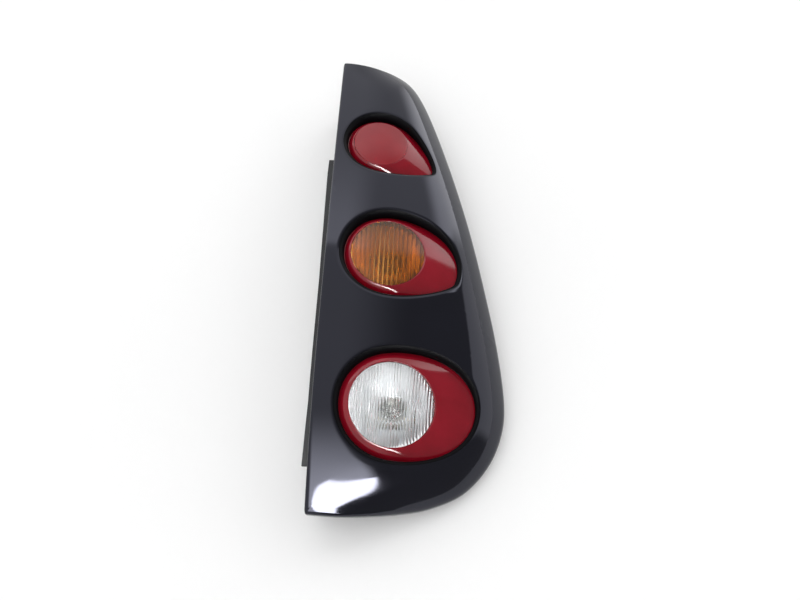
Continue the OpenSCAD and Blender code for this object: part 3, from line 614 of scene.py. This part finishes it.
def lens_place(i, a, share):
    """A place on the bowed skin of a surround, from its window out to its flange"""
    out_r = drop_radius(i, a) - LENS_GAP
    p = LENS_AT[i] + Vector((math.cos(a), math.sin(a))) * mix(WINDOW_R[i], out_r, share)
    ease = WINDOW_R[i] / (dome_radius(i) - BULGE_H) * (out_r - WINDOW_R[i]) * share * (1 - share)
    return row_place(p.x, p.y, seat_height(i, p.x, p.y) + DOME_H * (1 - share ** BOW_POWER) - ease)


def make_surround(i, name, node):
    angles = ring_angles(TEAR_N)
    rows = [[lens_place(i, a, k / BOW_ROWS) for a in angles] for k in range(BOW_ROWS + 1)]
    for out in (FLANGE_FOOT, FLANGE_W):
        row = []
        for a in angles:
            p = LENS_AT[i] + Vector((math.cos(a), math.sin(a))) * (drop_radius(i, a) + out)
            row.append(row_place(p.x, p.y, seat_height(i, p.x, p.y)))
        rows.append(row)
    bm = bmesh.new()
    pull_rows(bm, rows)
    face_out(bm)
    surround = finish_piece(name, bm, red_acrylic, [node], SURROUND_SHARP)
    thicken(surround, LENS_T - SKIN_INSET)


def make_window(i, name, node, material, gap):
    """A round window: domed outside, upright flutes inside, the two sides bridged at the edge"""
    r = WINDOW_R[i] - gap
    pitch = FLUTE_PITCH[i]
    dome_r = dome_radius(i)
    columns = FLUTE_STEPS * int(2 * r / pitch)
    bm = bmesh.new()
    top = bmesh.ops.create_grid(bm, x_segments=columns, y_segments=WINDOW_ROWS, size=1)["verts"]
    low = [g for g in bmesh.ops.duplicate(bm, geom=bm.verts[:] + bm.edges[:] + bm.faces[:])["geom"]
           if isinstance(g, bmesh.types.BMVert)]
    for side, verts in ((1, top), (-1, low)):
        for v in verts:
            x = v.co.x * r * GRID_SHARE
            y = v.co.y * math.sqrt(r * r - x * x)
            dome = DOME_H + math.sqrt(dome_r ** 2 - x * x - y * y) - (dome_r - BULGE_H)
            flute = abs(math.sin(math.pi * x / pitch))
            fluted = DOME_H - LENS_T + pitch * FLUTE_DEPTH_SHARE * (1 - flute) ** FLUTE_POWER
            v.co = Vector((x, y, dome if side > 0 else fluted)) * MM
    loops = [e for e in bm.edges if e.is_boundary]
    bmesh.ops.bridge_loops(bm, edges=loops)
    bmesh.ops.recalc_face_normals(bm, faces=bm.faces[:])
    bmesh.ops.transform(bm, matrix=seat_turn(i), verts=bm.verts[:])
    finish_piece(name, bm, material, [node], WINDOW_SHARP)


make_surround(0, "reverse_surround_skin", "reverse_surround")
make_surround(1, "indicator_surround_skin", "indicator_surround")
make_surround(2, "tail_lens_skin", "tail_lens")
make_window(0, "reverse_window_disc", "reverse_window", clear_acrylic, FIT_GAP / 2)
make_window(1, "indicator_window_disc", "indicator_window", amber_acrylic, FIT_GAP / 2)
make_window(2, "tail_window_disc", "tail_lens", clear_red_acrylic, -RED_OVERLAP)


# Reflectors: a paraboloid bowl that ends in a flat shelf under the surround

BOWL_N = 128
BOWL_ROWS = 18
BOWL_SPREAD = 1.4
BOWL_WALL = 1.6
BOWL_SHARP = 40
NECK_ROOM = 2.4
SHELF_T = 2
# Rounds of the search for where a bowl meets its sloping shelf
MEET_ROUNDS = 12


def make_reflector(i, name, node):
    neck_r = CUP_D / 2 + NECK_ROOM
    shelf = LENS_T + SEAL_T + SHELF_T
    depth = SEAT_Z[i] - shelf - NECK_Z
    c = LENS_AT[i]
    angles = ring_angles(BOWL_N)

    def bowl(a, t):
        r = math.sqrt(mix(neck_r ** 2, WINDOW_R[i] ** 2, t))
        return c + Vector((math.cos(a), math.sin(a))) * r

    ends = []
    for a in angles:
        t = 1
        for _ in range(MEET_ROUNDS):
            p = bowl(a, t)
            t = (seat_height(i, p.x, p.y) - shelf - NECK_Z) / depth
        ends.append(t)
    rows = [[row_place(*bowl(a, 0), BOSS_H + WALL_T + FIT_GAP) for a in angles]]
    for k in range(BOWL_ROWS + 1):
        share = (k / BOWL_ROWS) ** BOWL_SPREAD
        row = []
        for a, end in zip(angles, ends):
            row.append(row_place(*bowl(a, end * share), NECK_Z + depth * end * share))
        rows.append(row)
    for share in (0.5, 1):
        row = []
        for a, end in zip(angles, ends):
            far = c + Vector((math.cos(a), math.sin(a))) * (drop_radius(i, a) - WALL_T - FIT_GAP)
            p = mix(bowl(a, end), far, share)
            row.append(row_place(p.x, p.y, seat_height(i, p.x, p.y) - shelf))
        rows.append(row)
    bm = bmesh.new()
    pull_rows(bm, rows)
    face_out(bm)
    reflector = finish_piece(name, bm, reflector_silver, [node], BOWL_SHARP)
    thicken(reflector, BOWL_WALL)


make_reflector(0, "reverse_reflector_bowl", "reverse_reflector")
make_reflector(1, "indicator_reflector_bowl", "indicator_reflector")
make_reflector(2, "tail_reflector_bowl", "tail_reflector")


# Bulbs: a blown glass envelope with a coiled filament between two lead wires

SPIN_N = 64
POLE_MERGE = 0.001
GLASS_WALL = 0.5
GLASS_SHARP = 60
BALL_UP_SHARE = 0.62
NECK_SHARE = 0.42
SHOULDER_OUT = 1.2
SHOULDER_H = 4
BALL_ANGLES = [-40, -25, -10, 5, 20, 35, 50, 65, 78, 90]
WIRE_R = 0.16
COIL_UP_SHARE = 0.66
COIL_TURNS = 12
COIL_STEPS = 8
COIL_R = 0.6
COIL_HALF = 4
LEAD_FOOT = 1.6
LEAD_MIDDLE = 2.2
LEAD_END = 1


def spun(profile):
    """Spins a profile of radius and height, in millimetres, round the Z axis"""
    bm = bmesh.new()
    verts = [bm.verts.new((r * MM, 0, z * MM)) for r, z in profile]
    edges = [bm.edges.new(pair) for pair in zip(verts, verts[1:])]
    bmesh.ops.spin(bm, geom=verts + edges, cent=(0, 0, 0), axis=(0, 0, 1), dvec=(0, 0, 0),
                   angle=2 * math.pi, steps=SPIN_N, use_merge=True, use_duplicate=False)
    bmesh.ops.remove_doubles(bm, verts=bm.verts[:], dist=POLE_MERGE * MM)
    bmesh.ops.recalc_face_normals(bm, faces=bm.faces[:])
    return bm


def make_envelope(i, name, node):
    cap_top = CAP_Z + CAP_H
    ball_r = GLASS_D / 2
    ball_z = cap_top + GLASS_D * BALL_UP_SHARE
    neck = CAP_D * NECK_SHARE
    outside = [(neck, cap_top), (neck, cap_top + GLASS_NECK_H), (neck + SHOULDER_OUT, cap_top + SHOULDER_H)]
    for t in BALL_ANGLES:
        outside.append((ball_r * math.cos(math.radians(t)), ball_z + ball_r * math.sin(math.radians(t))))
    inside = [(max(0, r - GLASS_WALL), z - GLASS_WALL * (z > ball_z)) for r, z in reversed(outside)]
    # Both crowns end on the axis
    outside[-1] = (0, outside[-1][1])
    inside[0] = (0, inside[0][1])
    bm = spun(outside + inside)
    bmesh.ops.translate(bm, vec=row_place(LENS_AT[i].x, LENS_AT[i].y, 0), verts=bm.verts[:])
    finish_piece(name, bm, bulb_glass, [node], GLASS_SHARP)


def make_filament(i, name):
    """Two lead wires and the coil between them, as one curve of round wire"""
    curve = bpy.data.curves.new(name, "CURVE")
    curve.dimensions = "3D"
    curve.bevel_depth = WIRE_R * MM
    curve.bevel_resolution = 2
    top = CAP_Z + CAP_H + GLASS_D * COIL_UP_SHARE
    low = CAP_Z + CAP_H + LEAD_END
    lead = [(LEAD_FOOT, 0, low), (LEAD_MIDDLE, 0, mix(low, top, 0.5)), (COIL_HALF, 0, top - LEAD_END)]
    points = [(-x, y, z) for x, y, z in lead]
    for k in range(COIL_TURNS * COIL_STEPS + 1):
        a = 2 * math.pi * k / COIL_STEPS
        along = mix(-COIL_HALF, COIL_HALF, k / (COIL_TURNS * COIL_STEPS))
        points.append((along, COIL_R * math.cos(a), top + COIL_R * math.sin(a)))
    points += reversed(lead)
    spline = curve.splines.new("POLY")
    spline.points.add(len(points) - 1)
    for point, (x, y, z) in zip(spline.points, points):
        point.co = (*row_place(LENS_AT[i].x + x, LENS_AT[i].y + y, z), 1)
    curve.materials.append(tungsten)
    obj = bpy.data.objects.new(name, curve)
    bpy.context.collection.objects.link(obj)
    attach(obj, "root")


for i, lamp in enumerate(("reverse", "indicator", "tail")):
    make_envelope(i, lamp + "_bulb_envelope", lamp + "_bulb_glass")
    make_filament(i, lamp + "_filament")


# The remaining solids keep their shape and get their finishes

def dress(node, material):
    for material_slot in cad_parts[node].material_slots:
        material_slot.material = material


dress("lamp_housing", housing_black)
dress("fixing_bosses", housing_black)
for node in ("reverse_seal", "indicator_seal", "tail_seal", "carrier_gasket"):
    dress(node, seal_rubber)
dress("body_gasket", gasket_foam)
for node in ("reverse_bulb_cap", "indicator_bulb_cap", "tail_bulb_cap"):
    dress(node, nickel_plate)
for node in ("earth_strip", "reverse_strip", "indicator_strip", "tail_strip", "fixing_inserts"):
    dress(node, brass)
dress("bulb_carrier", carrier_plastic)
dress("cover_screws", zinc_steel)
dress("locating_peg", peg_nylon)


# Floor, light and camera

FLOOR_HALF_M = 6


def make_floor():
    """A plain pale floor, which shows as a clean near white"""
    material, tree, coords = new_material("pale floor")
    tint = uneven(tree, coords, 400, linear("#fbfbfb"), linear("#fdfdfd"), 2)
    shader = add(tree, "ShaderNodeBsdfPrincipled", Base_Color=tint, Roughness=0.6)
    add(tree, "ShaderNodeOutputMaterial", Surface=shader.outputs["BSDF"])
    bm = bmesh.new()
    bmesh.ops.create_grid(bm, x_segments=1, y_segments=1, size=FLOOR_HALF_M)
    mesh = bpy.data.meshes.new("floor")
    bm.to_mesh(mesh)
    bm.free()
    mesh.materials.append(material)
    floor = bpy.data.objects.new("floor", mesh)
    bpy.context.collection.objects.link(floor)


# Directions that the sides of the studio's screens are measured along

ACROSS = (1, 0, 0)
LEFT = (-1, 0, 0)
ALONG = (0, 1, 0)
BEHIND = (0, -1, 0)
END_SLANT = (-0.8, 1, 0)
PANEL_FACE = (-0.916, -0.401, 0.016)
PANEL_LOWER = (-0.661, -0.7075, -0.256)
PANEL_UPPER = (0.788, 0.543, 0.290)

# Levels of the screens, where 1 is white; what lights the object comes to about 1 on a level face

TOP_LEFT = grey(1.0)
TOP_RIGHT = grey(0.3)
TOP_IN_GLASS = grey(1.5)
RIGHT_SCREEN = grey(1.4)
END_LEFT = grey(1.5)
END_MIDDLE = grey(1.2)
END_RIGHT = grey(3.3)
END_CORNER = grey(2.7)
PANEL_LIGHT = grey(2.6)
GLOW_IN_GLASS = grey(5)
GLOW_IN_GLOSS = grey(8)
PANEL_IN_GLASS = grey(8)
PANEL_IN_GLOSS = grey(34)
BACKDROP = linear("#fcfcfc")


def set_screen(tree, towards, around, level, *sides):
    """Sets a screen into what is around it; a side is a direction and where along it the screen fades in"""
    inside = 1
    for direction, low, high in sides:
        height = add(tree, "ShaderNodeVectorMath", {"operation": "DOT_PRODUCT"}, i0=towards, i1=direction)
        side = add(tree, "ShaderNodeMapRange", {"interpolation_type": "SMOOTHSTEP"},
                   Value=height.outputs["Value"], From_Min=low, From_Max=high)
        both = add(tree, "ShaderNodeMath", {"operation": "MULTIPLY"}, i0=inside, i1=side.outputs["Result"])
        inside = both.outputs[0]
    return add(tree, "ShaderNodeMix", {"data_type": "RGBA"}, i0=inside, i6=around, i7=level).outputs[2]


def show_rays(tree, level, **by_kind):
    """Shows rays of the named kinds their own level in place of the plain one"""
    path = add(tree, "ShaderNodeLightPath")
    for kind, other in by_kind.items():
        rays = path.outputs["Is " + kind + " Ray"]
        level = add(tree, "ShaderNodeMix", {"data_type": "RGBA"}, i0=rays, i6=level, i7=other).outputs[2]
    return level


def make_studio():
    """What the gloss shows: screens at the far end and the right, a dim top and a bright panel behind"""
    world = bpy.data.worlds.new("studio")
    bpy.context.scene.world = world
    world.use_nodes = True
    tree = world.node_tree
    tree.nodes.clear()
    towards = add(tree, "ShaderNodeTexCoord").outputs["Generated"]
    studio = set_screen(tree, towards, TOP_LEFT, TOP_RIGHT, (ACROSS, -0.02, 0.26))
    studio = show_rays(tree, studio, Transmission=TOP_IN_GLASS)
    studio = set_screen(tree, towards, studio, RIGHT_SCREEN, (ACROSS, 0.72, 0.76), (ALONG, -0.2, -0.05))
    far_end = set_screen(tree, towards, END_LEFT, END_MIDDLE, (ACROSS, -0.02, 0.1))
    far_end = set_screen(tree, towards, far_end, END_RIGHT, (ACROSS, 0.3, 0.6))
    far_end = set_screen(tree, towards, far_end, END_CORNER, (BEHIND, -0.68, -0.5), (LEFT, -0.08, 0.05))
    studio = set_screen(tree, towards, studio, far_end, (ALONG, 0.495, 0.505), (END_SLANT, 0.0, 0.09))
    # Gloss and glass show the bare panel and its glow; what lights the object there stays at a plain level
    glow = show_rays(tree, PANEL_LIGHT, Transmission=GLOW_IN_GLASS, Glossy=GLOW_IN_GLOSS)
    panel = show_rays(tree, PANEL_LIGHT, Transmission=PANEL_IN_GLASS, Glossy=PANEL_IN_GLOSS)
    studio = set_screen(tree, towards, studio, glow, (BEHIND, -0.02, 0.42), (PANEL_FACE, -0.01, 0.04),
                        (ALONG, -0.65, -0.5), (ACROSS, -0.3, -0.1))
    studio = set_screen(tree, towards, studio, panel, (PANEL_LOWER, -0.008, 0.008), (PANEL_FACE, 0.0, 0.015),
                        (BEHIND, 0.33, 0.35), (ACROSS, -0.06, -0.03), (PANEL_UPPER, -0.015, 0.015))
    studio = show_rays(tree, studio, Camera=BACKDROP)
    background = add(tree, "ShaderNodeBackground", Color=studio)
    add(tree, "ShaderNodeOutputWorld", Surface=background.outputs["Background"])


make_floor()
make_studio()

# The camera stands over the lamp's lower end and looks down along it, a touch to the left

CAMERA_AT = (88.4, -144.1, 731.25)
CAMERA_DOWN = math.radians(63)
CAMERA_TURN = (-0.0414, 0.9991)
CAMERA_SENSOR = 36
CAMERA_LENS = 36

camera_data = bpy.data.cameras.new("camera")
camera_data.sensor_width = CAMERA_SENSOR
camera_data.lens = CAMERA_LENS
camera_data.clip_start = 0.01
camera = bpy.data.objects.new("camera", camera_data)
camera.location = ((CAMERA_AT[0] - MID_X) * MM, (CAMERA_AT[1] - MID_Y) * MM, CAMERA_AT[2] * MM)
level_part = math.cos(CAMERA_DOWN)
camera_aim = Vector((CAMERA_TURN[0] * level_part, CAMERA_TURN[1] * level_part, -math.sin(CAMERA_DOWN)))
camera.rotation_euler = camera_aim.to_track_quat("-Z", "Y").to_euler()
bpy.context.collection.objects.link(camera)
bpy.context.scene.camera = camera

bpy.context.scene.view_settings.view_transform = "Standard"
